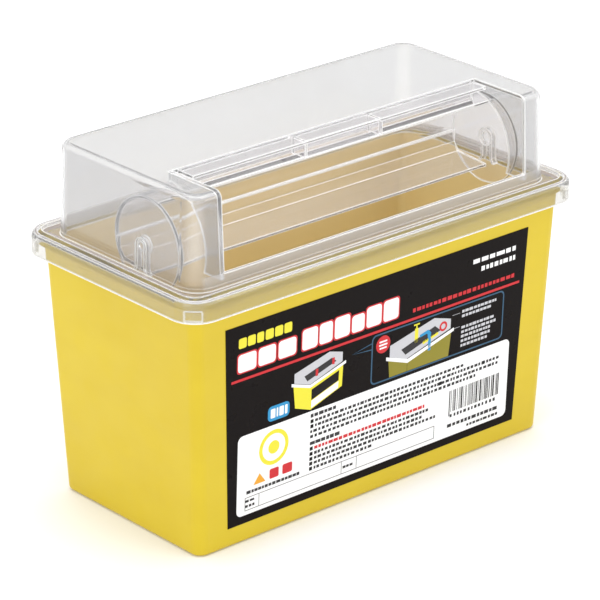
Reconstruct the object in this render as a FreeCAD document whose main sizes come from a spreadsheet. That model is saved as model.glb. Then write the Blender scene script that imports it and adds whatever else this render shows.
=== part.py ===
"""Benchtop sharps container: a tapered tub, a press-on clear lid with a hood, and a turning
inner drum that holds the loading tray and closes the mouth.

Frame: millimetres, +Z up, origin at the middle of the underside. The long side runs along X
and the labelled front faces -Y.
"""
import FreeCAD, Part
import math
import os
import Sketcher
from FreeCAD import Placement, Rotation, Vector

DRIVING_SIZES = {
    # Tub: outer size at the underside, walls leaning outwards by the draft angle.
    "tub_length": 233.2,
    "tub_width": 107.6,
    "tub_height": 139.2,
    "tub_draft_deg": 2.43,
    "tub_wall": 2.2,
    "tub_floor": 2.6,
    "tub_corner_radius": 6.0,
    "tub_bottom_round": 2.5,
    # Flange round the top of the tub.
    "flange_length": 255.0,
    "flange_width": 129.0,
    "flange_radius": 16.0,
    "flange_thickness": 2.2,
    # Lid rim: skirt, rounded shoulder, crest and the channel between crest and hood.
    "skirt_length": 260.0,
    "skirt_width": 134.0,
    "skirt_radius": 14.4,
    "skirt_bottom": 131.0,
    "skirt_wall": 1.8,
    "crest_top": 143.0,
    "shoulder_round": 4.0,
    "crest_land": 1.3,
    "channel_floor": 141.0,
    "channel_wall": 1.8,
    # Hood of the lid.
    "hood_length": 238.0,
    "hood_width": 111.8,
    "hood_radius": 12.0,
    "hood_top": 189.5,
    "hood_draft_deg": 2.3,
    "hood_wall": 1.9,
    "hood_top_round": 4.0,
    "hood_inner_round": 2.1,
    # Mouth of the hood, its lip and the two webs beside it.
    "mouth_half_length": 100.0,
    "mouth_back": -17.3,
    "mouth_sill": 148.0,
    "mouth_lip_bottom": 182.4,
    "mouth_lip_wall": 1.4,
    "mouth_margin": 5.0,
    "web_wall": 1.6,
    "web_bottom": 144.5,
    "web_arc_radius": 29.5,
    # Drum axis, bearings and pins.
    "axis_depth": -13.9,
    "axis_height": 153.9,
    "pin_radius": 2.5,
    "pin_tip": 116.2,
    "bearing_clearance": 0.05,
    "bearing_wall": 1.5,
    "bearing_face": 114.0,
    "bearing_bottom": 139.5,
    "bearing_flare": 1.6,
    "bearing_lead_in": 3.0,
    "bearing_wall_bite": 0.7,
    # Drum.
    "drum_radius": 24.5,
    "drum_wall": 1.6,
    "disc_outer_face": 113.0,
    "disc_thickness": 2.0,
    "hub_radius": 4.6,
    "hub_height": 0.7,
    "shell_front_deg": 108.0,
    "shell_rear_deg": -7.0,
    "shell_overlap_deg": 2.5,
    # Closing edge: a wall that stands on the shell and a shelf that juts forwards from its top.
    "edge_back": -17.6,
    "edge_front": -29.2,
    "edge_top": 189.2,
    "edge_foot": 2.2,
    "edge_half_length": 97.0,
    "tab_half_length": 25.5,
    "tab_drop": 8.9,
    "tray_fold_depth": 5.0,
    "tray_fold_height": 140.6,
    "tray_front_depth": -16.0,
    "tray_front_height": 139.0,
    "tray_rear_depth": 8.8,
    "tray_rear_height": 145.4,
    "tray_ledge": 1.2,
    # Corner catches of the skirt.
    "catch_length": 8.0,
    "catch_height": 5.2,
    "catch_top": 136.7,
    "catch_gap": 0.3,
    # Printed front label.
    "label_length_bottom": 195.0,
    "label_length_top": 203.0,
    "label_bottom": 10.8,
    "label_top": 120.0,
    "label_thickness": 0.2,
    "label_shift": -1.1,
}

# How near two heights must be to count as the same, and the least volume a feature may change.
SAME_HEIGHT = 0.01
LEAST_VOLUME = 1.0


def make_sheet(doc):
    """Spreadsheet with one named cell for each driving size."""
    sheet = doc.addObject("Spreadsheet::Sheet", "Sizes")
    for row, (alias, value) in enumerate(DRIVING_SIZES.items(), start=1):
        sheet.set("A%d" % row, alias)
        sheet.set("B%d" % row, repr(value))
        sheet.setAlias("B%d" % row, alias)
    doc.recompute()
    return sheet


doc = FreeCAD.newDocument("sharps_container")
sheet = make_sheet(doc)


def size(alias):
    """Value of one named cell."""
    return float(sheet.get(alias))


def new_body(label):
    body = doc.addObject("PartDesign::Body", label)
    body.Label = label
    body.Placement = Placement()
    return body


def new_sketch(body, name, role, offset_expression=None, offset_rotation=Rotation()):
    """Empty sketch on one of the body's origin planes, moved along the plane's normal."""
    sketch = body.newObject("Sketcher::SketchObject", name)
    plane = [item for item in body.Origin.OriginFeatures if item.Role == role][0]
    sketch.AttachmentSupport = [(plane, "")]
    sketch.MapMode = "FlatFace"
    sketch.AttachmentOffset = Placement(Vector(0, 0, 0), offset_rotation)
    if offset_expression:
        sketch.setExpression("AttachmentOffset.Base.z", offset_expression)
    return sketch


def bind(sketch, constraint, expression):
    """Add a constraint and drive it from the sheet."""
    index = sketch.addConstraint(constraint)
    sketch.setExpression("Constraints[%d]" % index, expression)


def add_rounded_rectangle(sketch, length, width, radius):
    """Centred rectangle with equal corner radii; the arguments are sheet expressions."""
    first = sketch.GeometryCount
    half_x, half_y, corner = 50.0, 30.0, 5.0
    straight_x, straight_y = half_x - corner, half_y - corner
    sides = [((straight_x, -half_y), (-straight_x, -half_y)),
             ((-half_x, -straight_y), (-half_x, straight_y)),
             ((-straight_x, half_y), (straight_x, half_y)),
             ((half_x, straight_y), (half_x, -straight_y))]
    for start, end in sides:
        sketch.addGeometry(Part.LineSegment(Vector(*start, 0), Vector(*end, 0)))
    centres = [((-straight_x, -straight_y), 180), ((-straight_x, straight_y), 90),
               ((straight_x, straight_y), 0), ((straight_x, -straight_y), 270)]
    for (centre_x, centre_y), start_deg in centres:
        circle = Part.Circle(Vector(centre_x, centre_y, 0), Vector(0, 0, 1), corner)
        sketch.addGeometry(Part.ArcOfCircle(circle, math.radians(start_deg),
                                            math.radians(start_deg + 90)))
    bottom, left, top, right, arc_a, arc_b, arc_c, arc_d = range(first, first + 8)
    joins = [(bottom, 2, arc_a, 2), (arc_a, 1, left, 1), (left, 2, arc_b, 2), (arc_b, 1, top, 1),
             (top, 2, arc_c, 2), (arc_c, 1, right, 1), (right, 2, arc_d, 2), (arc_d, 1, bottom, 1)]
    for join in joins:
        sketch.addConstraint(Sketcher.Constraint("Tangent", *join))
    for level in (bottom, top):
        sketch.addConstraint(Sketcher.Constraint("Horizontal", level))
    for upright in (left, right):
        sketch.addConstraint(Sketcher.Constraint("Vertical", upright))
    for arc in (arc_b, arc_c, arc_d):
        sketch.addConstraint(Sketcher.Constraint("Equal", arc_a, arc))
    sketch.addConstraint(Sketcher.Constraint("Symmetric", arc_a, 3, arc_c, 3, -1, 1))
    bind(sketch, Sketcher.Constraint("DistanceX", left, 1, right, 1, 2 * half_x), length)
    bind(sketch, Sketcher.Constraint("DistanceY", bottom, 1, top, 1, 2 * half_y), width)
    bind(sketch, Sketcher.Constraint("Radius", arc_a, corner), radius)


def add_rectangle(sketch, length, width):
    """Centred rectangle with sharp corners; the arguments are sheet expressions."""
    half_x, half_y = 50.0, 30.0
    corners = [(-half_x, -half_y), (half_x, -half_y), (half_x, half_y), (-half_x, half_y)]
    bottom, right, top, left = range(4)
    for side in (bottom, right, top, left):
        start, end = corners[side], corners[(side + 1) % 4]
        sketch.addGeometry(Part.LineSegment(Vector(*start, 0), Vector(*end, 0)))
    for side in (bottom, right, top, left):
        sketch.addConstraint(Sketcher.Constraint("Coincident", side, 2, (side + 1) % 4, 1))
    for level in (bottom, top):
        sketch.addConstraint(Sketcher.Constraint("Horizontal", level))
    for upright in (left, right):
        sketch.addConstraint(Sketcher.Constraint("Vertical", upright))
    sketch.addConstraint(Sketcher.Constraint("Symmetric", bottom, 1, top, 1, -1, 1))
    bind(sketch, Sketcher.Constraint("DistanceX", bottom, 1, bottom, 2, 2 * half_x), length)
    bind(sketch, Sketcher.Constraint("DistanceY", right, 1, right, 2, 2 * half_y), width)


def add_circle(sketch, centre, radius_expression, radius):
    index = sketch.addGeometry(Part.Circle(Vector(*centre, 0), Vector(0, 0, 1), radius))
    bind(sketch, Sketcher.Constraint("Radius", index, radius), radius_expression)
    sketch.addConstraint(Sketcher.Constraint("Block", index))


def add_outline(sketch, points, arcs=None):
    """Closed outline through the points; arcs maps a side's index to its middle point."""
    arcs = arcs or {}
    for index, start in enumerate(points):
        end = points[(index + 1) % len(points)]
        if index in arcs:
            curve = Part.Arc(Vector(*start, 0), Vector(*arcs[index], 0), Vector(*end, 0))
        else:
            curve = Part.LineSegment(Vector(*start, 0), Vector(*end, 0))
        side = sketch.addGeometry(curve)
        sketch.addConstraint(Sketcher.Constraint("Block", side))


def extrude(body, sketch, kind, length, reverse=False, taper=None, both=False):
    """Pad or Pocket of a sketch; a feature that leaves the volume unchanged is an error."""
    doc.recompute()
    before = body.Shape.Volume if body.Tip and not body.Shape.isNull() else 0.0
    feature = body.newObject("PartDesign::" + kind, sketch.Name + "_" + kind.lower())
    feature.Profile = sketch
    feature.Reversed = reverse
    if both:
        feature.Midplane = True
    feature.setExpression("Length", length)
    if taper:
        feature.setExpression("TaperAngle", taper)
    doc.recompute()
    after = feature.Shape.Volume
    grew = after > before + LEAST_VOLUME
    shrank = after < before - LEAST_VOLUME
    if (kind == "Pad" and not grew) or (kind == "Pocket" and not shrank):
        raise RuntimeError("%s changed nothing: %.1f to %.1f" % (feature.Name, before, after))
    return feature


def edges_where(shape, test):
    """Names of the edges whose bounding box passes the test."""
    return ["Edge%d" % number for number, edge in enumerate(shape.Edges, start=1)
            if test(edge.BoundBox)]


def fillet(body, name, edge_names, radius):
    base = body.Tip
    feature = body.newObject("PartDesign::Fillet", name)
    feature.Base = (base, edge_names)
    feature.setExpression("Radius", radius)
    doc.recompute()
    return feature


def point_at(angle_deg, radius):
    """Point of a section across the drum at an angle and radius about the drum's axis."""
    angle = math.radians(angle_deg)
    return (size("axis_depth") + radius * math.cos(angle),
            size("axis_height") + radius * math.sin(angle))


def angle_of(point):
    """Angle of a section point about the drum's axis, in degrees from 0 to 360."""
    return math.degrees(math.atan2(point[1] - size("axis_height"),
                                   point[0] - size("axis_depth"))) % 360


def strip(start, end, thickness):
    """Four corners of a straight strip from start to end, thickened equally to both sides."""
    run_y, run_z = end[0] - start[0], end[1] - start[1]
    scale = thickness / 2 / math.hypot(run_y, run_z)
    side = (-run_z * scale, run_y * scale)
    return [(start[0] + side[0], start[1] + side[1]), (end[0] + side[0], end[1] + side[1]),
            (end[0] - side[0], end[1] - side[1]), (start[0] - side[0], start[1] - side[1])]


def make_tub():
    """Tapered yellow tub with a flat floor and a flange round its top."""
    body = new_body("tub")
    outer = new_sketch(body, "tub_outline", "XY_Plane")
    add_rectangle(outer, "Sizes.tub_length", "Sizes.tub_width")
    extrude(body, outer, "Pad", "Sizes.tub_height", taper="Sizes.tub_draft_deg")
    top = size("tub_height")
    corners = edges_where(body.Shape, lambda box: box.ZMin < SAME_HEIGHT
                          and box.ZMax > top - SAME_HEIGHT)
    fillet(body, "tub_corners", corners, "Sizes.tub_corner_radius")

    flange = new_sketch(body, "flange_outline", "XY_Plane",
                        "Sizes.tub_height - Sizes.flange_thickness")
    add_rounded_rectangle(flange, "Sizes.flange_length", "Sizes.flange_width",
                          "Sizes.flange_radius")
    extrude(body, flange, "Pad", "Sizes.flange_thickness")

    inside = new_sketch(body, "tub_inside", "XY_Plane", "Sizes.tub_floor")
    growth = "2 * tan(Sizes.tub_draft_deg * 1deg) * Sizes.tub_floor"
    add_rectangle(inside, "Sizes.tub_length - 2 * Sizes.tub_wall + " + growth,
                  "Sizes.tub_width - 2 * Sizes.tub_wall + " + growth)
    extrude(body, inside, "Pocket", "Sizes.tub_height - Sizes.tub_floor", reverse=True,
            taper="Sizes.tub_draft_deg")
    floor = size("tub_floor")
    inner_corners = edges_where(body.Shape, lambda box: abs(box.ZMin - floor) < SAME_HEIGHT
                                and box.ZMax > top - SAME_HEIGHT)
    fillet(body, "tub_inner_corners", inner_corners, "Sizes.tub_corner_radius - Sizes.tub_wall")

    rim = edges_where(body.Shape, lambda box: box.ZMax < SAME_HEIGHT)
    fillet(body, "tub_bottom_edge", rim, "Sizes.tub_bottom_round")
    return body


def make_label():
    """Thin printed sheet, stuck a little off centre on the leaning front wall of the tub."""
    body = new_body("front_label")
    lean = Rotation(Vector(1, 0, 0), size("tub_draft_deg"))
    sketch = new_sketch(body, "label_outline", "XZ_Plane", "Sizes.tub_width / 2", lean)
    slope = math.cos(math.radians(size("tub_draft_deg")))
    bottom, top = size("label_bottom") / slope, size("label_top") / slope
    half_bottom, half_top = size("label_length_bottom") / 2, size("label_length_top") / 2
    middle = size("label_shift")
    add_outline(sketch, [(middle - half_bottom, bottom), (middle + half_bottom, bottom),
                         (middle + half_top, top), (middle - half_top, top)])
    extrude(body, sketch, "Pad", "Sizes.label_thickness")
    return body


def add_lid_rim(body):
    """Skirt with a rounded shoulder, hollow underneath, and a channel behind its crest."""
    rim = new_sketch(body, "rim_outline", "XY_Plane", "Sizes.skirt_bottom")
    add_rounded_rectangle(rim, "Sizes.skirt_length", "Sizes.skirt_width", "Sizes.skirt_radius")
    extrude(body, rim, "Pad", "Sizes.crest_top - Sizes.skirt_bottom")
    top = size("crest_top")
    fillet(body, "shoulder", edges_where(body.Shape, lambda box: box.ZMin > top - SAME_HEIGHT),
           "Sizes.shoulder_round")


def add_hood(body):
    """Closed hood standing on the rim, its walls leaning inwards."""
    hood = new_sketch(body, "hood_outline", "XY_Plane", "Sizes.channel_floor")
    add_rounded_rectangle(hood, "Sizes.hood_length", "Sizes.hood_width", "Sizes.hood_radius")
    extrude(body, hood, "Pad", "Sizes.hood_top - Sizes.channel_floor",
            taper="-Sizes.hood_draft_deg")
    top = size("hood_top")
    fillet(body, "hood_top_edge", edges_where(body.Shape, lambda box: box.ZMin > top - SAME_HEIGHT),
           "Sizes.hood_top_round")


def cut_lid_channel(body):
    """Open channel round the hood, between its wall and the crest."""
    channel = new_sketch(body, "channel", "XY_Plane", "Sizes.channel_floor")
    inset = "2 * (Sizes.shoulder_round + Sizes.crest_land)"
    add_rounded_rectangle(channel, "Sizes.skirt_length - " + inset,
                          "Sizes.skirt_width - " + inset,
                          "Sizes.skirt_radius - Sizes.shoulder_round - Sizes.crest_land")
    add_rounded_rectangle(channel, "Sizes.hood_length", "Sizes.hood_width", "Sizes.hood_radius")
    extrude(body, channel, "Pocket", "Sizes.crest_top - Sizes.channel_floor", reverse=True)


def hollow_lid(body):
    """Space under the channel, the deeper space under the crest, and the inside of the hood."""
    plate_bottom = "Sizes.channel_floor - Sizes.channel_wall"
    skirt_length = "Sizes.skirt_length - 2 * Sizes.skirt_wall"
    skirt_width = "Sizes.skirt_width - 2 * Sizes.skirt_wall"
    skirt_radius = "Sizes.skirt_radius - Sizes.skirt_wall"
    under = new_sketch(body, "rim_underside", "XY_Plane", "Sizes.skirt_bottom")
    add_rounded_rectangle(under, skirt_length, skirt_width, skirt_radius)
    extrude(body, under, "Pocket", plate_bottom + " - Sizes.skirt_bottom", reverse=True)

    crest = new_sketch(body, "crest_underside", "XY_Plane", plate_bottom)
    add_rounded_rectangle(crest, skirt_length, skirt_width, skirt_radius)
    inset = "(Sizes.shoulder_round + Sizes.crest_land - Sizes.skirt_wall)"
    add_rounded_rectangle(crest, "Sizes.skirt_length - 2 * " + inset,
                          "Sizes.skirt_width - 2 * " + inset, "Sizes.skirt_radius - " + inset)
    extrude(body, crest, "Pocket", "Sizes.crest_top - Sizes.skirt_wall - (%s)" % plate_bottom,
            reverse=True)

    inside = new_sketch(body, "hood_inside", "XY_Plane", plate_bottom)
    spread = "2 * tan(Sizes.hood_draft_deg * 1deg) * Sizes.channel_wall"
    add_rounded_rectangle(inside, "Sizes.hood_length - 2 * Sizes.hood_wall + " + spread,
                          "Sizes.hood_width - 2 * Sizes.hood_wall + " + spread,
                          "Sizes.hood_radius - Sizes.hood_wall")
    extrude(body, inside, "Pocket", "Sizes.hood_top - Sizes.hood_wall - (%s)" % plate_bottom,
            reverse=True, taper="-Sizes.hood_draft_deg")
    roof = size("hood_top") - size("hood_wall")
    inner_edges = edges_where(body.Shape, lambda box: abs(box.ZMin - roof) < SAME_HEIGHT
                              and abs(box.ZMax - roof) < SAME_HEIGHT)
    fillet(body, "hood_inner_edge", inner_edges, "Sizes.hood_inner_round")


def cut_mouth(body):
    """Mouth through the front of the roof and the upper front wall."""
    mouth = new_sketch(body, "mouth", "YZ_Plane")
    back, sill, margin = size("mouth_back"), size("mouth_sill"), size("mouth_margin")
    front, above = -size("hood_width") / 2 - margin, size("hood_top") + margin
    add_outline(mouth, [(front, sill), (back, sill), (back, above), (front, above)])
    extrude(body, mouth, "Pocket", "2 * Sizes.mouth_half_length", both=True)


def add_mouth_lip(body):
    """Stiffening lip that hangs from the roof along the back of the mouth."""
    lip = new_sketch(body, "mouth_lip", "YZ_Plane")
    front, back = size("mouth_back"), size("mouth_back") + size("mouth_lip_wall")
    bottom, top = size("mouth_lip_bottom"), size("hood_top") - size("hood_wall") / 2
    add_outline(lip, [(front, bottom), (back, bottom), (back, top), (front, top)])
    extrude(body, lip, "Pad", "2 * (Sizes.mouth_half_length + Sizes.web_wall)", both=True)


def add_webs(body):
    """Upright web at each end of the mouth, cut to an arc round the drum; its upper front
    corner follows the rounded edge of the hood."""
    lean = math.tan(math.radians(size("hood_draft_deg")))
    wall_middle = size("hood_width") / 2 - size("hood_wall") / 2
    bottom, top = size("web_bottom"), size("hood_top") - size("hood_wall") / 2
    front_bottom = -wall_middle + lean * (bottom - size("channel_floor"))
    front_top = -wall_middle + lean * (top - size("channel_floor"))
    back = size("mouth_back") + size("mouth_lip_wall")
    radius, axis_y, axis_z = (size("web_arc_radius"), size("axis_depth"), size("axis_height"))
    corner = size("hood_top_round")
    corner_foot = (front_top - lean * corner, top - corner)
    corner_head = (front_top + corner, top)
    bulge = corner * (1 - math.sqrt(0.5))
    corner_middle = (front_top + bulge, top - bulge)
    arc_start = (axis_y - math.sqrt(radius ** 2 - (axis_z - bottom) ** 2), bottom)
    arc_end = (back, axis_z + math.sqrt(radius ** 2 - (back - axis_y) ** 2))
    arc_middle = point_at((angle_of(arc_start) + angle_of(arc_end)) / 2, radius)
    for name, side in (("left", -1), ("right", 1)):
        inner_face = "Sizes.mouth_half_length" if side > 0 else (
            "-Sizes.mouth_half_length - Sizes.web_wall")
        web = new_sketch(body, "web_" + name, "YZ_Plane", inner_face)
        add_outline(web, [(front_bottom, bottom), arc_start, arc_end, (back, top),
                          corner_head, corner_foot],
                    {1: arc_middle, 4: corner_middle})
        extrude(body, web, "Pad", "Sizes.web_wall")


def add_bearings(body):
    """Arched bearing on each end wall, open below so that the drum's pin snaps up into it."""
    axis_y, axis_z = size("axis_depth"), size("axis_height")
    slot = size("pin_radius") + size("bearing_clearance")
    outer = slot + size("bearing_wall")
    bottom, flare = size("bearing_bottom"), size("bearing_flare")
    bend = bottom + size("bearing_lead_in")
    points = [(axis_y + slot, axis_z), (axis_y - slot, axis_z), (axis_y - slot, bend),
              (axis_y - slot - flare, bottom), (axis_y - outer - flare, bottom),
              (axis_y - outer, bend), (axis_y - outer, axis_z), (axis_y + outer, axis_z),
              (axis_y + outer, bend), (axis_y + outer + flare, bottom),
              (axis_y + slot + flare, bottom), (axis_y + slot, bend)]
    arcs = {0: (axis_y, axis_z + slot), 6: (axis_y, axis_z + outer)}
    wall_outer = "(Sizes.hood_length / 2 - Sizes.hood_wall / 2 - Sizes.bearing_wall_bite)"
    for name, side in (("left", -1), ("right", 1)):
        start = "Sizes.bearing_face" if side > 0 else "-" + wall_outer
        rib = new_sketch(body, "bearing_" + name, "YZ_Plane", start)
        add_outline(rib, points, arcs)
        extrude(body, rib, "Pad", wall_outer + " - Sizes.bearing_face")


def add_catches(body):
    """Short catch inside each rounded corner of the skirt, just below the tub's flange."""
    corner_x = size("skirt_length") / 2 - size("skirt_radius")
    corner_y = size("skirt_width") / 2 - size("skirt_radius")
    outer = size("skirt_radius") - size("skirt_wall") / 2
    tub_corner_x = size("flange_length") / 2 - size("flange_radius")
    tub_corner_y = size("flange_width") / 2 - size("flange_radius")
    shift = math.hypot(tub_corner_x - corner_x, tub_corner_y - corner_y)
    inner = size("flange_radius") - shift + size("catch_gap")
    half = size("catch_length") / 2
    sketch = new_sketch(body, "catches", "XY_Plane", "Sizes.catch_top - Sizes.catch_height")
    for sign_x in (-1, 1):
        for sign_y in (-1, 1):
            out = Vector(sign_x, sign_y, 0).normalize()
            along = Vector(-out.y, out.x, 0)
            centre = Vector(sign_x * corner_x, sign_y * corner_y, 0)
            corners = [centre + out * reach + along * step
                       for reach, step in ((inner, -half), (outer, -half), (outer, half),
                                           (inner, half))]
            add_outline(sketch, [(corner.x, corner.y) for corner in corners])
    extrude(body, sketch, "Pad", "Sizes.catch_height")


def make_lid():
    """Clear lid in one moulding: rim, hood with its mouth, webs, bearings and catches."""
    body = new_body("lid")
    add_lid_rim(body)
    add_hood(body)
    cut_lid_channel(body)
    hollow_lid(body)
    cut_mouth(body)
    add_mouth_lip(body)
    add_webs(body)
    add_bearings(body)
    add_catches(body)
    return body


def add_drum_shell(body):
    """Part of a cylinder that closes the mouth when the drum is turned forwards."""
    outer, inner = size("drum_radius"), size("drum_radius") - size("drum_wall")
    front, rear = size("shell_front_deg"), size("shell_rear_deg")
    middle = (front + rear) / 2
    shell = new_sketch(body, "shell", "YZ_Plane")
    add_outline(shell, [point_at(rear, outer), point_at(front, outer), point_at(front, inner),
                        point_at(rear, inner)],
                {0: point_at(middle, outer), 2: point_at(middle, inner)})
    extrude(body, shell, "Pad", "2 * Sizes.disc_outer_face - Sizes.disc_thickness", both=True)


def add_drum_tray(body):
    """Tray under the axis: a floor, a fold and a rear wall that ends in a ledge in the shell."""
    wall = size("drum_wall")
    rear_top = point_at(size("shell_rear_deg") + size("shell_overlap_deg"),
                        size("drum_radius") - wall / 2 - size("tray_ledge"))
    knee = (size("tray_rear_depth"), size("tray_rear_height"))
    fold = (size("tray_fold_depth"), size("tray_fold_height"))
    front = (size("tray_front_depth"), size("tray_front_height"))
    runs = {"rear_wall": (rear_top, knee), "fold_wall": (knee, fold), "floor": (fold, front)}
    for name, (start, end) in runs.items():
        sketch = new_sketch(body, "tray_" + name, "YZ_Plane")
        add_outline(sketch, strip(start, end, wall))
        extrude(body, sketch, "Pad", "2 * Sizes.disc_outer_face - Sizes.disc_thickness", both=True)
    for name, corner in (("knee", knee), ("fold", fold)):
        sketch = new_sketch(body, "tray_%s_round" % name, "YZ_Plane")
        add_circle(sketch, corner, "Sizes.drum_wall / 2", wall / 2)
        extrude(body, sketch, "Pad", "2 * Sizes.disc_outer_face - Sizes.disc_thickness", both=True)


def add_closing_edge(body):
    """Closing edge along the top of the shell, with a box-shaped finger tab in its middle."""
    wall = size("drum_wall")
    back, front, top = size("edge_back"), size("edge_front"), size("edge_top")
    wall_front = back - wall
    middle_radius = size("drum_radius") - wall / 2

    def on_shell(depth):
        """Point in the thickness of the shell at a depth."""
        rise = math.sqrt(middle_radius ** 2 - (depth - size("axis_depth")) ** 2)
        return (depth, size("axis_height") + rise)

    foot = size("edge_foot")
    foot_rear, foot_front = on_shell(back), on_shell(wall_front - foot)
    edge = new_sketch(body, "closing_edge", "YZ_Plane")
    add_outline(edge, [foot_rear, (back, top), (front, top), (front, top - wall),
                       (wall_front, top - wall), (wall_front, foot_front[1] + 2 * foot),
                       foot_front])
    extrude(body, edge, "Pad", "2 * Sizes.edge_half_length", both=True)

    bottom = top - size("tab_drop")
    tab = new_sketch(body, "tab_face", "YZ_Plane")
    add_outline(tab, [(front, bottom), (front + wall, bottom), (front + wall, top), (front, top)])
    extrude(body, tab, "Pad", "2 * Sizes.tab_half_length", both=True)
    for name, start in (("left", "-Sizes.tab_half_length"),
                        ("right", "Sizes.tab_half_length - Sizes.drum_wall")):
        cheek = new_sketch(body, "tab_cheek_" + name, "YZ_Plane", start)
        add_outline(cheek, [(front + wall / 2, bottom), (wall_front + wall / 2, bottom),
                            (wall_front + wall / 2, top - wall / 2),
                            (front + wall / 2, top - wall / 2)])
        extrude(body, cheek, "Pad", "Sizes.drum_wall")


def add_drum_ends(body):
    """End discs, each with a raised hub and a pivot pin."""
    axis = (size("axis_depth"), size("axis_height"))
    steps = {"disc": ("Sizes.disc_outer_face - Sizes.disc_thickness", "Sizes.disc_thickness",
                      "Sizes.drum_radius"),
             "hub": ("Sizes.disc_outer_face", "Sizes.hub_height", "Sizes.hub_radius"),
             "pin": ("Sizes.disc_outer_face", "Sizes.pin_tip - Sizes.disc_outer_face",
                     "Sizes.pin_radius")}
    for name, (start, length, radius) in steps.items():
        radius_now = size(radius.split(".")[1])
        for end, sign in (("left", "-"), ("right", "")):
            sketch = new_sketch(body, name + "_" + end, "YZ_Plane", sign + "(" + start + ")")
            add_circle(sketch, axis, radius, radius_now)
            extrude(body, sketch, "Pad", length, reverse=(sign == "-"))


def make_drum():
    """Clear inner drum in one moulding, turning on two pins."""
    body = new_body("drum")
    add_drum_shell(body)
    add_drum_tray(body)
    add_closing_edge(body)
    add_drum_ends(body)
    return body


def check(bodies):
    """Stop on any failed object, and on any sub-part that is not one valid solid."""
    doc.recompute()
    for item in doc.Objects:
        if "Invalid" in item.State or "Error" in item.State:
            raise RuntimeError("%s: %s" % (item.Label, item.State))
    for body in bodies:
        shape = body.Shape
        if shape.isNull() or not shape.isValid() or len(shape.Solids) != 1:
            raise RuntimeError("%s has a bad shape" % body.Label)
        print("%-12s %9.1f mm3  %s" % (body.Label, shape.Volume, shape.BoundBox))


def main():
    bodies = [make_tub(), make_label(), make_lid(), make_drum()]
    check(bodies)
    os.makedirs("parts", exist_ok=True)
    for body in bodies:
        body.Shape.exportStep("parts/%s.step" % body.Label)


main()
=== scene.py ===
"""Looks of a benchtop sharps container: yellow tub, printed label, clear lid and clear turning drum.

Metres, in the frame of the CAD model: +Z up, the labelled front faces -Y. The shapes of the tub,
lid, drum and label come from the CAD nodes; this script gives them their plastics, and prints
the label with generic blocks and bars in place of its words and marks.
"""
import math
import random

import bmesh
import bpy
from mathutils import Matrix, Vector


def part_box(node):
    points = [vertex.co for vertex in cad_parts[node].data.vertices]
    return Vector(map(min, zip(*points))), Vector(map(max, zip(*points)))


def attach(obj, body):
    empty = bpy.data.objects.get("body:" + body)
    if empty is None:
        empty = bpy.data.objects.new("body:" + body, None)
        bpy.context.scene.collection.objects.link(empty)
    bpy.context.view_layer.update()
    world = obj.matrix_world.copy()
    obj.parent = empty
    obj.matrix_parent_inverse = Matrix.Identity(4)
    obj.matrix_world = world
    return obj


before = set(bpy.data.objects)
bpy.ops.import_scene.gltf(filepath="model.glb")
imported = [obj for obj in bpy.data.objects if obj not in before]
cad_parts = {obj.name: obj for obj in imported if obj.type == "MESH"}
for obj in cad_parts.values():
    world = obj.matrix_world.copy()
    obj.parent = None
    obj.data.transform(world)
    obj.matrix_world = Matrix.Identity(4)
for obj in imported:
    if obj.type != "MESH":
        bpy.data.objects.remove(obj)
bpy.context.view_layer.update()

MM = 0.001
WHOLE_TURN = 2 * math.pi

# Camera, as seen from the object: how far it is turned, raised and away.
CAMERA_AZIMUTH_DEG = -41.25
CAMERA_ELEVATION_DEG = 23.0
CAMERA_DISTANCE = 1.7812
CAMERA_AIM_HEIGHT = 0.0885
CAMERA_LENS_MM = 209.1
CAMERA_SENSOR_MM = 36.0
CAMERA_SHIFT_X = -0.0092
CAMERA_NEAR, CAMERA_FAR = 0.05, 50.0

# Light from all round, the soft boxes' common aim, and the glow of the floor.
WORLD_STRENGTH = 0.72
LIGHT_AIM = (0, 0, 0.08)
FLOOR_GLOW = 0.04
FLOOR_HALF = 6.0
FLOOR_GAP = 0.1 * MM

# How many clear walls, one behind another, light may cross.
LIGHT_BOUNCES = 32

# Floor of the channel round the lid's hood, just above the top of the tub.
CHANNEL_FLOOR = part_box("tub")[1].z + 1.8 * MM
# Where the hood begins and the skirt ends, above and below the channel's floor.
HOOD_FOOT = CHANNEL_FLOOR + 3 * MM
SKIRT_TOP = CHANNEL_FLOOR - 1 * MM
# How far in from the lid's outer edge the channel's floor is painted grey, as shade.
SHADE_REACH = 9.9 * MM
# Height of the mouth's sill above the channel's floor.
SILL_HEIGHT = 7 * MM
# Width over which one zone of the lid blends into the next.
ZONE_BLEND = 0.4 * MM

# How milky the clear plastic is along its edges and in each zone of the lid. The milky white along
# the edges and on the hood's rounded corners is painted highlight, and the channel's milky grey is
# painted shade.
EDGE_HIGHLIGHT_HAZE = 0.94
ROUND_HIGHLIGHT_HAZE = 0.14
CHANNEL_SHADE_HAZE = 0.60
SILL_HAZE = 0.30
SKIRT_HAZE = 0.05
# Share of a lamp's light that one clear wall lets through.
LAMP_SHARE = 0.95

# The label's print: layers of ink, each lying on the one below it.
INK_THICKNESS = 0.03 * MM
INK_OVERLAP = 0.2


# ---------------------------------------------------------------------------- shader helpers

def srgb(red, green, blue):
    """Linear colour from 8-bit display values."""
    def linear(value):
        share = value / 255
        return share / 12.92 if share <= 0.04045 else ((share + 0.055) / 1.055) ** 2.4
    return (linear(red), linear(green), linear(blue), 1.0)


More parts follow.
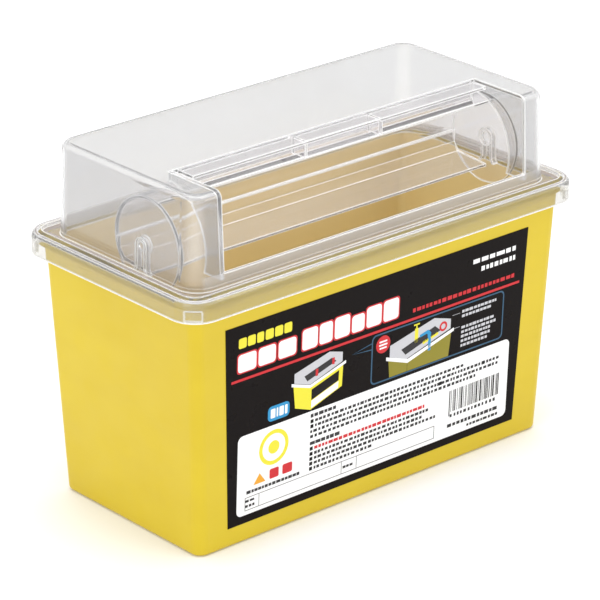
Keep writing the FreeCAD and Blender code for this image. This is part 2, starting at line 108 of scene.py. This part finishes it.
class Shader:
    """A material's node tree with a Principled BSDF, and short calls for what feeds it."""

    def __init__(self, name):
        self.material = bpy.data.materials.new(name)
        self.material.use_nodes = True
        self.tree = self.material.node_tree
        self.tree.nodes.clear()
        self.output = self.node("ShaderNodeOutputMaterial")
        self.bsdf = self.node("ShaderNodeBsdfPrincipled")
        self.link(self.bsdf.outputs["BSDF"], self.output.inputs["Surface"])
        self.place = self.node("ShaderNodeTexCoord").outputs["Object"]

    def node(self, kind, **inputs):
        made = self.tree.nodes.new(kind)
        for name, value in inputs.items():
            made.inputs[name.replace("_", " ")].default_value = value
        return made

    def link(self, source, target):
        self.tree.links.new(source, target)

    def noise(self, scale, detail=2.0, roughness=0.5, stretch=None):
        """Noise in the object's own space; scale is in features per metre."""
        texture = self.node("ShaderNodeTexNoise", Scale=scale, Detail=detail, Roughness=roughness)
        source = self.place
        if stretch:
            mapping = self.node("ShaderNodeMapping")
            mapping.inputs["Scale"].default_value = stretch
            self.link(source, mapping.inputs["Vector"])
            source = mapping.outputs["Vector"]
        self.link(source, texture.inputs["Vector"])
        return texture.outputs["Fac"]

    def spread(self, factor, low, high, start=0.35, end=0.65):
        """Number that runs from low to high as the factor runs from start to end."""
        ranged = self.node("ShaderNodeMapRange")
        ranged.inputs["From Min"].default_value = start
        ranged.inputs["From Max"].default_value = end
        ranged.inputs["To Min"].default_value = low
        ranged.inputs["To Max"].default_value = high
        self.link(factor, ranged.inputs["Value"])
        return ranged.outputs["Result"]

    def blend(self, factor, first, second):
        """Colour between two colours, or between a socket and a colour."""
        mix = self.node("ShaderNodeMix")
        mix.data_type = "RGBA"
        colours = [socket for socket in mix.inputs if socket.type == "RGBA"]
        for socket, colour in zip(colours, (first, second)):
            if isinstance(colour, tuple):
                socket.default_value = colour
            else:
                self.link(colour, socket)
        self.link(factor, mix.inputs["Factor"])
        return [socket for socket in mix.outputs if socket.type == "RGBA"][0]

    def between(self, factor, first, second):
        """Number between two numbers or sockets."""
        mix = self.node("ShaderNodeMix")
        numbers = [socket for socket in mix.inputs if socket.type == "VALUE"]
        self.link(factor, numbers[0])
        for socket, value in zip(numbers[1:], (first, second)):
            if isinstance(value, float):
                socket.default_value = value
            else:
                self.link(value, socket)
        return mix.outputs["Result"]

    def vector(self, operation, first, second, output="Vector"):
        """Vector maths on sockets or fixed vectors."""
        maths = self.node("ShaderNodeVectorMath")
        maths.operation = operation
        for socket, value in zip(maths.inputs, (first, second)):
            if isinstance(value, Vector):
                socket.default_value = value
            else:
                self.link(value, socket)
        return maths.outputs[output]

    def dot(self, first, second):
        return self.vector("DOT_PRODUCT", first, second, "Value")

    def maths(self, operation, first, second):
        maths = self.node("ShaderNodeMath")
        maths.operation = operation
        maths.use_clamp = True
        self.link(first, maths.inputs[0])
        self.link(second, maths.inputs[1])
        return maths.outputs["Value"]

    def product(self, first, second):
        return self.maths("MULTIPLY", first, second)

    def difference(self, first, second):
        return self.maths("SUBTRACT", first, second)

    def part_of(self, vector, axis):
        parts = self.node("ShaderNodeSeparateXYZ")
        self.link(vector, parts.inputs[0])
        return parts.outputs[axis]

    def upward(self):
        """1 on faces that look up, 0 on the rest."""
        normal = self.node("ShaderNodeNewGeometry").outputs["Normal"]
        return self.spread(self.part_of(normal, "Z"), 0.0, 1.0, 0.8, 0.9)

    def above(self, height):
        """0 below a height on the object and 1 above it."""
        return self.spread(self.part_of(self.place, "Z"), 0.0, 1.0, height, height + ZONE_BLEND)

    def bump(self, height, strength, distance, under=None):
        bump = self.node("ShaderNodeBump", Strength=strength, Distance=distance)
        self.link(height, bump.inputs["Height"])
        if under:
            self.link(under, bump.inputs["Normal"])
        return bump.outputs["Normal"]

    def set(self, **values):
        for name, value in values.items():
            socket = self.bsdf.inputs[name.replace("_", " ")]
            if isinstance(value, (int, float, tuple)):
                socket.default_value = value
            else:
                self.link(value, socket)


# ---------------------------------------------------------------------------- materials

LID_TINT = (0.75, 0.75, 0.757, 1.0)
DRUM_TINT = (0.95, 0.94, 0.95, 1.0)
# Painted highlight: milky white along every edge of the clear plastic.
EDGE_HIGHLIGHT_TINT = (0.99, 0.99, 0.99, 1.0)
# Painted highlight: brighter tint on the hood's roof.
ROOF_HIGHLIGHT_TINT = (0.90, 0.90, 0.90, 1.0)
# Painted highlight: brighter tint on the hood's rounded corners.
ROUND_HIGHLIGHT_TINT = (0.93, 0.93, 0.935, 1.0)
# Painted shade: grey on the outer floor of the channel.
CHANNEL_SHADE_TINT = srgb(182, 174, 177)
SKIRT_TINT = (0.71, 0.70, 0.67, 1.0)
TUB_YELLOW = srgb(214, 188, 22)
TUB_FLOW = srgb(209, 182, 19)
TUB_SCUFF = srgb(218, 198, 70)
TUB_INSIDE = srgb(224, 204, 150)


def edge_mask(shader, radius, soft=0.01, full=0.05):
    """Runs from 0 on flat faces to 1 at edges, by how far a rounded normal leaves the true one."""
    rounded_normal = shader.node("ShaderNodeBevel", Radius=radius)
    rounded_normal.samples = 6
    geometry = shader.node("ShaderNodeNewGeometry")
    product = shader.dot(rounded_normal.outputs["Normal"], geometry.outputs["Normal"])
    return shader.spread(product, 0.0, 1.0, 1.0 - soft, 1.0 - full)


def round_mask(shader):
    """0 on faces square to the frame, up to 1 where one wall has turned half way to the next."""
    normal = shader.node("ShaderNodeNewGeometry").outputs["Normal"]
    squares = shader.vector("MULTIPLY", normal, normal)
    return shader.spread(shader.dot(squares, squares), 1.0, 0.0, 0.5, 0.94)


def channel_shade_mask(shader):
    """1 on the outer part of the floor of the channel round the lid's hood, where shade is painted
    grey, 0 elsewhere.
    """
    centred = shader.vector("ABSOLUTE", shader.place, Vector((0, 0, 0)))
    from_edge = shader.vector("SUBTRACT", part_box("lid")[1], centred)
    nearest = shader.maths("MINIMUM", shader.part_of(from_edge, "X"),
                           shader.part_of(from_edge, "Y"))
    outer = shader.spread(nearest, 1.0, 0.0, SHADE_REACH - ZONE_BLEND / 2,
                          SHADE_REACH + ZONE_BLEND / 2)
    floor = shader.difference(shader.upward(), shader.above(CHANNEL_FLOOR + 0.5 * MM))
    return shader.product(floor, outer)


def sill_mask(shader):
    """1 on the front of the hood's wall from the channel up to the sill of the mouth."""
    normal = shader.node("ShaderNodeNewGeometry").outputs["Normal"]
    front = shader.spread(shader.part_of(normal, "Y"), 1.0, 0.0, -0.95, -0.85)
    low = shader.difference(shader.above(CHANNEL_FLOOR + 0.5 * MM),
                            shader.above(CHANNEL_FLOOR + SILL_HEIGHT))
    return shader.product(front, low)


def make_tub_plastic():
    """Opaque yellow polypropylene: even colour with faint flow marks and a fine satin grain."""
    shader = Shader("yellow_polypropylene")
    flow = shader.noise(14, detail=3, stretch=(1.0, 1.0, 2.5))
    colour = shader.blend(shader.spread(flow, 0.0, 1.0), TUB_YELLOW, TUB_FLOW)
    scuffs = shader.noise(160, detail=6, roughness=0.7, stretch=(1.0, 1.0, 6.0))
    colour = shader.blend(shader.spread(scuffs, 0.0, 0.35, 0.62, 0.75), colour, TUB_SCUFF)
    colour = shader.blend(inside_mask(shader), colour, TUB_INSIDE)
    grain = shader.noise(1800, detail=2)
    waves = shader.bump(flow, 0.06, 0.6 * MM)
    shader.set(Base_Color=colour,
               Roughness=shader.spread(shader.noise(60, detail=4), 0.34, 0.46),
               IOR=1.49,
               Normal=shader.bump(grain, 0.08, 0.05 * MM, under=waves))
    return shader.material


def inside_mask(shader):
    """1 on the tub's inner faces, which are given a paler, less yellow colour, and 0 on its outer
    ones.
    """
    low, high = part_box("tub")
    from_middle = shader.vector("SUBTRACT", shader.place, (low + high) / 2)
    normal = shader.node("ShaderNodeNewGeometry").outputs["Normal"]
    return shader.spread(shader.dot(normal, from_middle), 1.0, 0.0, -2 * MM, 2 * MM)


def let_lamps_through(shader, share):
    """Rays towards the lamps pass with little loss, so that what lies behind is lit."""
    lamp_light = shader.node("ShaderNodeBsdfTransparent", Color=(share, share, share, 1.0))
    path = shader.node("ShaderNodeLightPath")
    either = shader.node("ShaderNodeMixShader")
    shader.link(path.outputs["Is Shadow Ray"], either.inputs[0])
    shader.link(shader.bsdf.outputs["BSDF"], either.inputs[1])
    shader.link(lamp_light.outputs["BSDF"], either.inputs[2])
    shader.link(either.outputs["Shader"], shader.output.inputs["Surface"])


def add_lid_zones(shader, colour, haze):
    """Colour and clearness of the lid: roof, round edges, channel, skirt and sill differ. The roof's
    brighter tint and the round edges' brighter, milkier plastic are painted highlights; the
    channel's grey is painted shade.
    """
    highlit_rounds, channel = round_mask(shader), channel_shade_mask(shader)
    above_skirt, on_hood = shader.above(SKIRT_TOP), shader.above(HOOD_FOOT)
    # Painted highlight: a brighter tint on the hood's upward faces.
    roof = shader.product(shader.upward(), on_hood)
    colour = shader.blend(roof, colour, ROOF_HIGHLIGHT_TINT)
    # Painted highlight: a brighter tint on the hood's rounded corners.
    colour = shader.blend(shader.product(highlit_rounds, on_hood), colour, ROUND_HIGHLIGHT_TINT)
    # Painted shade: grey on the outer floor of the channel.
    colour = shader.blend(channel, colour, CHANNEL_SHADE_TINT)
    colour = shader.blend(above_skirt, SKIRT_TINT, colour)
    clear = shader.spread(above_skirt, 1.0 - SKIRT_HAZE, 1.0 - haze, 0.0, 1.0)
    # Painted highlight: the rounded corners are made milkier.
    clear = shader.between(highlit_rounds, clear, 1.0 - ROUND_HIGHLIGHT_HAZE)
    # Painted shade: the channel's outer floor is made milky grey.
    clear = shader.between(channel, clear, 1.0 - CHANNEL_SHADE_HAZE)
    clear = shader.between(sill_mask(shader), clear, 1.0 - SILL_HAZE)
    return colour, clear


def make_clear_plastic(name, flat, haze, edge_width, is_lid=False):
    """Clear polypropylene: a little milky, with a painted highlight along its edges, which are made
    milky white where the plastic is seen endways. The lid has zones of its own."""
    shader = Shader(name)
    # Painted highlight: milky white along the edges, found by the bevel-based edge test.
    edge_highlight = edge_mask(shader, edge_width)
    cloud = shader.noise(9, detail=2)
    darker = tuple(0.97 * channel for channel in flat[:3]) + (1.0,)
    colour = shader.blend(shader.spread(cloud, 0.0, 1.0), flat, darker)
    clear = 1.0 - haze
    if is_lid:
        colour, clear = add_lid_zones(shader, colour, haze)
    ripple = shader.noise(26, detail=1, stretch=(0.35, 1.0, 1.0))
    specks = shader.noise(420, detail=3)
    wavy = shader.bump(ripple, 0.02, 0.4 * MM)
    shader.set(Base_Color=shader.blend(edge_highlight, colour, EDGE_HIGHLIGHT_TINT),
               Roughness=shader.spread(shader.noise(70, detail=4), 0.03, 0.10),
               IOR=1.47,
               Transmission_Weight=shader.between(edge_highlight, clear, 1.0 - EDGE_HIGHLIGHT_HAZE),
               Normal=shader.bump(specks, 0.01, 0.03 * MM, under=wavy))
    let_lamps_through(shader, LAMP_SHARE)
    return shader.material


def make_ink(name, colour, roughness=0.38, ior=1.4):
    """Printing ink on film: nearly even, with a fine mottle in colour and gloss."""
    shader = Shader(name)
    mottle = shader.noise(2400, detail=3)
    worn = tuple(0.94 * channel + 0.004 for channel in colour[:3]) + (1.0,)
    shader.set(Base_Color=shader.blend(shader.spread(mottle, 0.0, 1.0), colour, worn),
               Roughness=shader.spread(shader.noise(90, detail=4), roughness - 0.06,
                                       roughness + 0.06),
               IOR=ior,
               Normal=shader.bump(mottle, 0.02, 0.01 * MM))
    return shader.material


# ---------------------------------------------------------------------------- label print

label_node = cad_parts["front_label"]
label_points = [vertex.co.copy() for vertex in label_node.data.vertices]
LABEL_TOP_FRONT = min(label_points, key=lambda point: point.y)
label_floor = min(point.z for point in label_points)
LABEL_FOOT_FRONT = min((point for point in label_points if point.z < label_floor + 1 * MM),
                       key=lambda point: point.y)
LABEL_MIDDLE_X = sum(corner.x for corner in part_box("front_label")) / 2
LABEL_LEAN = math.atan2(LABEL_FOOT_FRONT.y - LABEL_TOP_FRONT.y,
                        LABEL_TOP_FRONT.z - LABEL_FOOT_FRONT.z)
LABEL_OUT = Vector((0, -math.cos(LABEL_LEAN), -math.sin(LABEL_LEAN)))


def on_label(x_mm, height_mm, lift):
    """Point on the label: millimetres from its middle and above the bench, metres off its face."""
    height = height_mm * MM
    depth = LABEL_FOOT_FRONT.y - (height - LABEL_FOOT_FRONT.z) * math.tan(LABEL_LEAN)
    return Vector((LABEL_MIDDLE_X + x_mm * MM, depth, height)) + LABEL_OUT * lift


def bar(left, bottom, right, top):
    return [(left, bottom), (right, bottom), (right, top), (left, top)]


def rounded(left, bottom, right, top, radius, steps=5):
    """Rectangle with rounded corners, anticlockwise from the lower right."""
    corners = [(right - radius, bottom + radius, -0.25), (right - radius, top - radius, 0.0),
               (left + radius, top - radius, 0.25), (left + radius, bottom + radius, 0.5)]
    points = []
    for centre_x, centre_z, start in corners:
        for step in range(steps + 1):
            angle = WHOLE_TURN * (start + 0.25 * step / steps)
            points.append((centre_x + radius * math.cos(angle),
                           centre_z + radius * math.sin(angle)))
    return points


def disc(centre_x, centre_z, radius, steps=28):
    return [(centre_x + radius * math.cos(WHOLE_TURN * step / steps),
             centre_z + radius * math.sin(WHOLE_TURN * step / steps)) for step in range(steps)]


class Print:
    """One ink on the label: thin closed shapes at one level above the label's face."""

    def __init__(self, name, ink, level):
        self.name = name
        self.ink = ink
        self.low = INK_THICKNESS * (level - INK_OVERLAP)
        self.high = INK_THICKNESS * (level + 1)
        self.mesh = bmesh.new()

    def loop(self, outline, lift):
        return [self.mesh.verts.new(on_label(x, z, lift)) for x, z in outline]

    def sides(self, back, front):
        for index, corner in enumerate(back):
            following = (index + 1) % len(back)
            self.mesh.faces.new((corner, back[following], front[following], front[index]))

    def fill(self, *outlines):
        for outline in outlines:
            back, front = self.loop(outline, self.low), self.loop(outline, self.high)
            self.mesh.faces.new(front)
            self.mesh.faces.new(list(reversed(back)))
            self.sides(back, front)

    def ring(self, outer, inner):
        """Shape between two outlines that have the same number of points."""
        loops = [self.loop(outline, lift) for outline in (outer, inner)
                 for lift in (self.low, self.high)]
        outer_back, outer_front, inner_back, inner_front = loops
        self.sides(outer_back, outer_front)
        self.sides(inner_front, inner_back)
        self.sides(outer_front, inner_front)
        self.sides(inner_back, outer_back)

    def words(self, left, right, middle, height, mean_width, gap, seed):
        """A line of plain blocks from left to right, standing in for a line of words."""
        chance = random.Random(seed)
        position = left
        while position < right - 0.4 * mean_width:
            width = min(mean_width * chance.uniform(0.6, 1.3), right - position)
            rise = height / 2 * chance.uniform(0.82, 1.0)
            self.fill(bar(position, middle - rise, position + width, middle + rise))
            position += width + gap * chance.uniform(0.7, 1.4)

    def finish(self):
        data = bpy.data.meshes.new(self.name)
        bmesh.ops.recalc_face_normals(self.mesh, faces=self.mesh.faces)
        self.mesh.to_mesh(data)
        self.mesh.free()
        data.materials.append(self.ink)
        piece = bpy.data.objects.new(self.name, data)
        bpy.context.scene.collection.objects.link(piece)
        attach(piece, "tub")
        return piece


INKS = {
    "white": make_ink("ink_white", srgb(250, 250, 250)),
    "yellow": make_ink("ink_yellow", srgb(235, 225, 50)),
    "olive": make_ink("ink_olive", srgb(140, 130, 20)),
    "red": make_ink("ink_red", srgb(205, 25, 35)),
    "blue": make_ink("ink_blue", srgb(30, 145, 200)),
    "deep_blue": make_ink("ink_deep_blue", srgb(40, 85, 115)),
    "amber": make_ink("ink_amber", srgb(235, 165, 40)),
    "grey": make_ink("ink_grey", srgb(200, 200, 205)),
    "dark_grey": make_ink("ink_dark_grey", srgb(52, 50, 52), ior=1.25),
    "black": make_ink("ink_black", srgb(22, 18, 18), ior=1.2),
}


def grown(outline, margin):
    """The outline with its points moved outwards from its middle by the margin, along x and z."""
    middle_x = sum(x for x, _ in outline) / len(outline)
    middle_z = sum(z for _, z in outline) / len(outline)
    return [(x + math.copysign(margin, x - middle_x), z + math.copysign(margin, z - middle_z))
            for x, z in outline]


def print_title():
    """Yellow line of small blocks and the white, red-edged line of large blocks under it."""
    small = Print("label_print_yellow_title", INKS["yellow"], 1)
    for left, width in ((-93.0, 5.0), (-87.3, 5.0), (-81.4, 4.4), (-76.0, 5.2), (-70.0, 5.2),
                        (-64.0, 5.0)):
        small.fill(rounded(left, 107.6, left + width, 113.0, 0.9, 2))
    small.finish()
    blocks = []
    for left, width, bottom, top in ((-93.2, 11.6, 94.6, 104.2), (-80.2, 11.0, 94.6, 104.2),
                                     (-67.4, 11.4, 94.6, 104.2), (-52.0, 10.0, 94.6, 105.8),
                                     (-40.8, 8.6, 94.6, 105.8), (-30.8, 10.0, 94.6, 106.2),
                                     (-19.4, 8.4, 94.6, 104.0), (-9.6, 10.0, 94.6, 105.8),
                                     (1.8, 10.2, 94.6, 106.0)):
        blocks.append(rounded(left, bottom, left + width, top, 1.8, 3))
    edge = Print("label_print_title_edge", INKS["red"], 1)
    edge.fill(*(grown(block, 0.7) for block in blocks))
    edge.finish()
    large = Print("label_print_white_title", INKS["white"], 2)
    large.fill(*blocks)
    large.finish()


def print_header():
    """Two pale bars at the upper right, the row of red blocks and the full-width fill line."""
    pale = Print("label_print_header_bars", INKS["white"], 1)
    pale.words(63.0, 93.0, 110.7, 2.6, 5.0, 1.0, 11)
    pale.words(69.0, 93.0, 105.5, 2.8, 2.6, 0.9, 12)
    pale.finish()
    red = Print("label_print_red", INKS["red"], 1)
    red.fill(bar(-97.2, 89.9, 97.0, 91.3))
    red.words(22.0, 93.0, 95.3, 2.3, 2.4, 0.8, 13)
    red.finish()


def print_panel():
    """White panel with its rows of dark blocks, red row, entry table and striped code field."""
    margin, indent, left_field = -45.0, -42.0, -86.8
    heading_height, line_height, bullet_half = 2.1, 1.7, 1.0
    panel = Print("label_print_panel", INKS["white"], 1)
    panel.fill(rounded(-92.2, 15.2, 92.2, 59.6, 3.2, 6))
    panel.finish()

    text = Print("label_print_text", INKS["dark_grey"], 2)
    text.words(margin, -28.0, 56.9, heading_height, 2.6, 0.5, 21)
    for row, (middle, right) in enumerate(((53.8, 60.5), (51.0, 85.0), (48.1, 85.5), (45.3, 69.0))):
        left = indent if row < 2 else margin
        text.words(left, right, middle, line_height, 2.0, 0.75, 30 + row)
    text.words(margin, -25.0, 41.5, heading_height, 2.6, 0.5, 22)
    for row, (middle, right) in enumerate(((35.6, 37.0), (32.8, 32.5), (30.1, 41.0), (27.3, -1.5))):
        text.words(indent, right, middle, line_height, 2.0, 0.75, 40 + row)
    text.words(-86.0, -51.5, 27.3, 1.8, 2.2, 0.4, 23)
    text.words(left_field, -80.0, 22.6, 1.4, 2.2, 0.8, 24)
    text.words(left_field, -80.0, 19.8, 1.4, 2.2, 0.5, 25)
    text.words(-22.3, -15.2, 21.0, 1.6, 1.8, 0.4, 26)
    text.words(50.0, 86.2, 21.5, 2.0, 2.8, 0.6, 27)
    text.words(64.0, 86.2, 18.0, 1.6, 2.2, 0.6, 28)
    text.words(51.5, 84.0, 27.0, 1.9, 1.5, 1.1, 29)
    text.finish()

    dark = Print("label_print_bullets", INKS["black"], 2)
    for middle in (53.8, 51.0, 38.5, 35.6, 32.8, 30.1, 27.3):
        dark.fill(bar(margin, middle - bullet_half, margin + 2 * bullet_half, middle + bullet_half))
    for left, middle in ((42.6, 48.1), (72.8, 51.0)):
        dark.fill(bar(left, middle - bullet_half, left + 2 * bullet_half, middle + bullet_half))
    chance = random.Random(5)
    position, right = 50.6, 86.4
    while position < right:
        width = chance.choice((0.33, 0.33, 0.66, 1.0))
        low = 27.0 if position < 51.5 or position > 85.4 else 29.2
        dark.fill(bar(position, low, position + width, 41.6))
        position += width + chance.choice((0.33, 0.4, 0.66, 1.0))
    dark.finish()

    red = Print("label_print_red_row", INKS["red"], 2)
    red.words(indent, 33.0, 38.5, 1.9, 2.3, 0.5, 50)
    red.fill(rounded(-71.2, 30.2, -65.2, 35.6, 0.8, 2), rounded(-62.8, 30.2, -56.4, 35.6, 0.8, 2))
    red.finish()

    lines = Print("label_print_table", INKS["dark_grey"], 2)
    left, right, bottom, top, stroke = -86.9, 40.8, 17.4, 24.7, 0.3
    lines.ring(bar(left, bottom, right, top),
               bar(left + stroke, bottom + stroke, right - stroke, top - stroke))
    for across in (-77.9, -23.4, -13.2):
        lines.fill(bar(across, bottom, across + stroke, top))
    lines.finish()


def print_symbol():
    """Plain yellow roundel and a plain amber triangle in the panel's left field."""
    yellow = Print("label_print_roundel", INKS["yellow"], 2)
    centre_x, centre_z = -68.8, 47.4
    yellow.ring(disc(centre_x, centre_z, 9.6), disc(centre_x, centre_z, 7.4))
    yellow.fill(disc(centre_x, centre_z, 3.6))
    yellow.finish()
    amber = Print("label_print_triangle", INKS["amber"], 2)
    amber.fill([(-81.6, 30.2), (-73.8, 30.2), (-77.7, 35.7)])
    amber.finish()


def print_badges():
    """Blue capacity badge and red round badge, each with plain pale bars."""
    blue = Print("label_print_blue_badge", INKS["blue"], 1)
    blue.fill(rounded(-73.2, 62.0, -59.2, 70.2, 2.4, 5))
    blue.finish()
    red = Print("label_print_red_badge", INKS["red"], 1)
    red.fill(disc(2.4, 82.4, 4.8))
    red.finish()
    pale = Print("label_print_badge_bars", INKS["white"], 2)
    for left, width in ((-71.4, 3.0), (-67.6, 1.0), (-65.8, 2.8), (-62.2, 1.6)):
        pale.fill(rounded(left, 63.6, left + width, 68.6, 0.4, 2))
    for middle, half in ((84.0, 2.6), (82.2, 2.8), (80.4, 2.4)):
        pale.fill(bar(2.4 - half, middle - 0.45, 2.4 + half, middle + 0.45))
    pale.finish()


def print_bubble():
    """Outlined field at the upper right, its pointer and its rows of pale blocks."""
    field = Print("label_print_bubble", INKS["deep_blue"], 1)
    field.ring(rounded(-5.4, 61.4, 86.6, 88.9, 3.0, 5), rounded(-4.6, 62.2, 85.8, 88.1, 2.4, 5))
    field.fill([(-18.8, 82.7), (-5.2, 84.7), (-5.2, 85.3)],
               [(-18.8, 82.7), (-5.2, 81.3), (-5.2, 81.9)])
    field.finish()
    notes = Print("label_print_notes", INKS["grey"], 1)
    for row, (middle, right) in enumerate(((84.9, 81.0), (82.3, 78.5), (75.9, 81.0), (73.3, 81.5),
                                           (70.8, 77.5), (68.2, 77.5), (65.6, 75.5))):
        notes.words(56.8, right, middle, 1.6, 2.1, 0.5, 60 + row)
    notes.fill(bar(50.0, 84.45, 55.4, 84.65), bar(51.2, 76.7, 55.4, 76.9))
    notes.finish()


def print_pictures():
    """Two small plain pictures of a hooded box, built from a few flat facets each."""
    hood = Print("label_print_picture_hoods", INKS["grey"], 1)
    hood.fill([(-56.5, 78.2), (-46.0, 74.6), (-24.9, 81.2), (-24.9, 86.4), (-33.6, 89.0),
               (-56.5, 83.4)],
              [(7.2, 73.6), (19.0, 69.4), (49.0, 77.8), (49.0, 83.2), (37.4, 86.8), (7.2, 80.0)])
    hood.finish()
    rim = Print("label_print_picture_rims", INKS["white"], 3)
    rim.fill([(-58.3, 76.9), (-46.0, 72.8), (-22.6, 79.6), (-22.6, 81.2), (-46.0, 74.4),
              (-58.3, 78.6)],
             [(4.8, 72.4), (19.6, 67.0), (51.4, 75.8), (51.4, 77.6), (19.6, 69.2), (4.8, 74.4)])
    rim.finish()
    bright = Print("label_print_picture_sides", INKS["yellow"], 2)
    bright.fill([(-57.0, 76.6), (-45.6, 73.0), (-45.4, 60.6), (-55.6, 64.4)],
                [(-45.6, 73.0), (-24.4, 79.0), (-24.8, 67.6), (-45.4, 60.6)])
    bright.fill(rounded(24.0, 76.6, 26.4, 84.8, 0.6, 2), bar(23.2, 86.4, 27.2, 87.2),
                bar(24.8, 84.6, 25.6, 86.6))
    bright.fill([(30.0, 74.2), (40.6, 77.0), (40.2, 78.8), (29.6, 76.0)])
    bright.finish()
    olive = Print("label_print_picture_shade", INKS["olive"], 2)
    olive.fill([(6.4, 72.2), (19.4, 67.2), (19.4, 62.4), (7.4, 62.4)],
               [(19.6, 67.2), (49.6, 75.4), (48.2, 62.4), (19.6, 62.4)])
    olive.finish()
    dark = Print("label_print_picture_dark", INKS["black"], 3)
    dark.fill([(-45.0, 71.6), (-27.0, 76.9), (-27.2, 71.4), (-45.0, 65.8)])
    dark.finish()
    mouth = Print("label_print_picture_mouths", INKS["dark_grey"], 2)
    mouth.fill([(-48.0, 77.0), (-29.0, 82.6), (-32.0, 85.2), (-50.0, 80.2)],
               [(18.0, 72.0), (42.0, 78.8), (38.0, 82.2), (15.0, 75.6)])
    mouth.finish()
    marks = Print("label_print_picture_marks", INKS["red"], 3)
    marks.ring(disc(43.8, 80.4, 2.7), disc(43.8, 80.4, 1.5))
    marks.fill(bar(-42.6, 78.2, -41.0, 82.0), bar(-31.8, 81.4, -30.2, 85.0))
    marks.finish()
    pale = Print("label_print_picture_panel", INKS["white"], 3)
    pale.fill([(-45.0, 65.4), (-27.2, 71.0), (-27.4, 67.2), (-45.0, 61.4)])
    pale.finish()
    arrow = Print("label_print_picture_arrow", INKS["blue"], 3)
    arrow.fill([(27.6, 80.2), (33.4, 81.6), (35.4, 79.4), (35.0, 76.8), (33.2, 76.8), (33.0, 79.0),
                (32.4, 79.6), (27.6, 78.8)],
               bar(33.6, 69.6, 35.4, 76.8))
    arrow.finish()


def print_label():
    for print_part in (print_title, print_header, print_panel, print_symbol, print_badges,
                       print_bubble, print_pictures):
        print_part()


# ---------------------------------------------------------------------------- surroundings

def make_floor():
    """Plain pale floor, large enough to fill the view behind the object."""
    shader = Shader("pale_floor")
    shade = shader.noise(3, detail=2)
    shader.set(Base_Color=shader.blend(shade, (0.93, 0.93, 0.93, 1.0), (0.95, 0.95, 0.95, 1.0)),
               Roughness=0.9, Emission_Color=(1.0, 1.0, 1.0, 1.0), Emission_Strength=FLOOR_GLOW)
    rows = 12
    mesh = bmesh.new()
    bmesh.ops.create_grid(mesh, x_segments=rows, y_segments=rows, size=FLOOR_HALF)
    data = bpy.data.meshes.new("floor")
    mesh.to_mesh(data)
    mesh.free()
    data.materials.append(shader.material)
    floor = bpy.data.objects.new("floor", data)
    floor.location.z = -FLOOR_GAP
    bpy.context.scene.collection.objects.link(floor)


def add_softbox(name, place, width, height, power):
    """Rectangular lamp at a place, turned to face the object."""
    light = bpy.data.lights.new(name, "AREA")
    light.shape = "RECTANGLE"
    light.size = width
    light.size_y = height
    light.energy = power
    lamp = bpy.data.objects.new(name, light)
    lamp.location = place
    towards = Vector(LIGHT_AIM) - Vector(place)
    lamp.rotation_euler = towards.to_track_quat("-Z", "Y").to_euler()
    bpy.context.scene.collection.objects.link(lamp)


def light_the_studio():
    """Even white light from all round and three soft boxes: above, left and in front."""
    world = bpy.data.worlds.new("studio")
    world.use_nodes = True
    background = world.node_tree.nodes["Background"]
    background.inputs["Color"].default_value = (1.0, 1.0, 1.0, 1.0)
    background.inputs["Strength"].default_value = WORLD_STRENGTH
    bpy.context.scene.world = world
    add_softbox("top_softbox", (0.1, 0.1, 1.5), width=1.6, height=1.4, power=18)
    add_softbox("left_softbox", (-1.7, -0.5, 0.7), width=1.0, height=1.2, power=8)
    add_softbox("front_softbox", (0.8, -1.9, 0.8), width=1.4, height=1.0, power=8)


def place_camera():
    """Long lens, looking down at the near left corner of the object."""
    azimuth = math.radians(CAMERA_AZIMUTH_DEG)
    elevation = math.radians(CAMERA_ELEVATION_DEG)
    aim = Vector((0, 0, CAMERA_AIM_HEIGHT))
    back = Vector((math.sin(azimuth) * math.cos(elevation),
                   -math.cos(azimuth) * math.cos(elevation), math.sin(elevation)))
    data = bpy.data.cameras.new("camera")
    data.lens = CAMERA_LENS_MM
    data.sensor_width = CAMERA_SENSOR_MM
    data.shift_x = CAMERA_SHIFT_X
    data.clip_start, data.clip_end = CAMERA_NEAR, CAMERA_FAR
    camera = bpy.data.objects.new("camera", data)
    camera.location = aim + back * CAMERA_DISTANCE
    camera.rotation_euler = (-back).to_track_quat("-Z", "Y").to_euler()
    bpy.context.scene.collection.objects.link(camera)
    bpy.context.scene.camera = camera


# ---------------------------------------------------------------------------- the object

def dress(node, material):
    """Give a CAD node its material."""
    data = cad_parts[node].data
    data.materials.clear()
    data.materials.append(material)


place_camera()
make_floor()
light_the_studio()
dress("tub", make_tub_plastic())
dress("lid", make_clear_plastic("clear_lid_plastic", LID_TINT, haze=0.10,
                                edge_width=1.3 * MM, is_lid=True))
dress("drum", make_clear_plastic("clear_drum_plastic", DRUM_TINT, haze=0.06,
                                 edge_width=1.1 * MM))
dress("front_label", make_ink("label_film", srgb(16, 10, 9), 0.33, ior=1.15))
print_label()

bpy.context.scene.view_settings.view_transform = "Standard"
for limit in ("max_bounces", "transmission_bounces", "transparent_max_bounces"):
    setattr(bpy.context.scene.cycles, limit, LIGHT_BOUNCES)
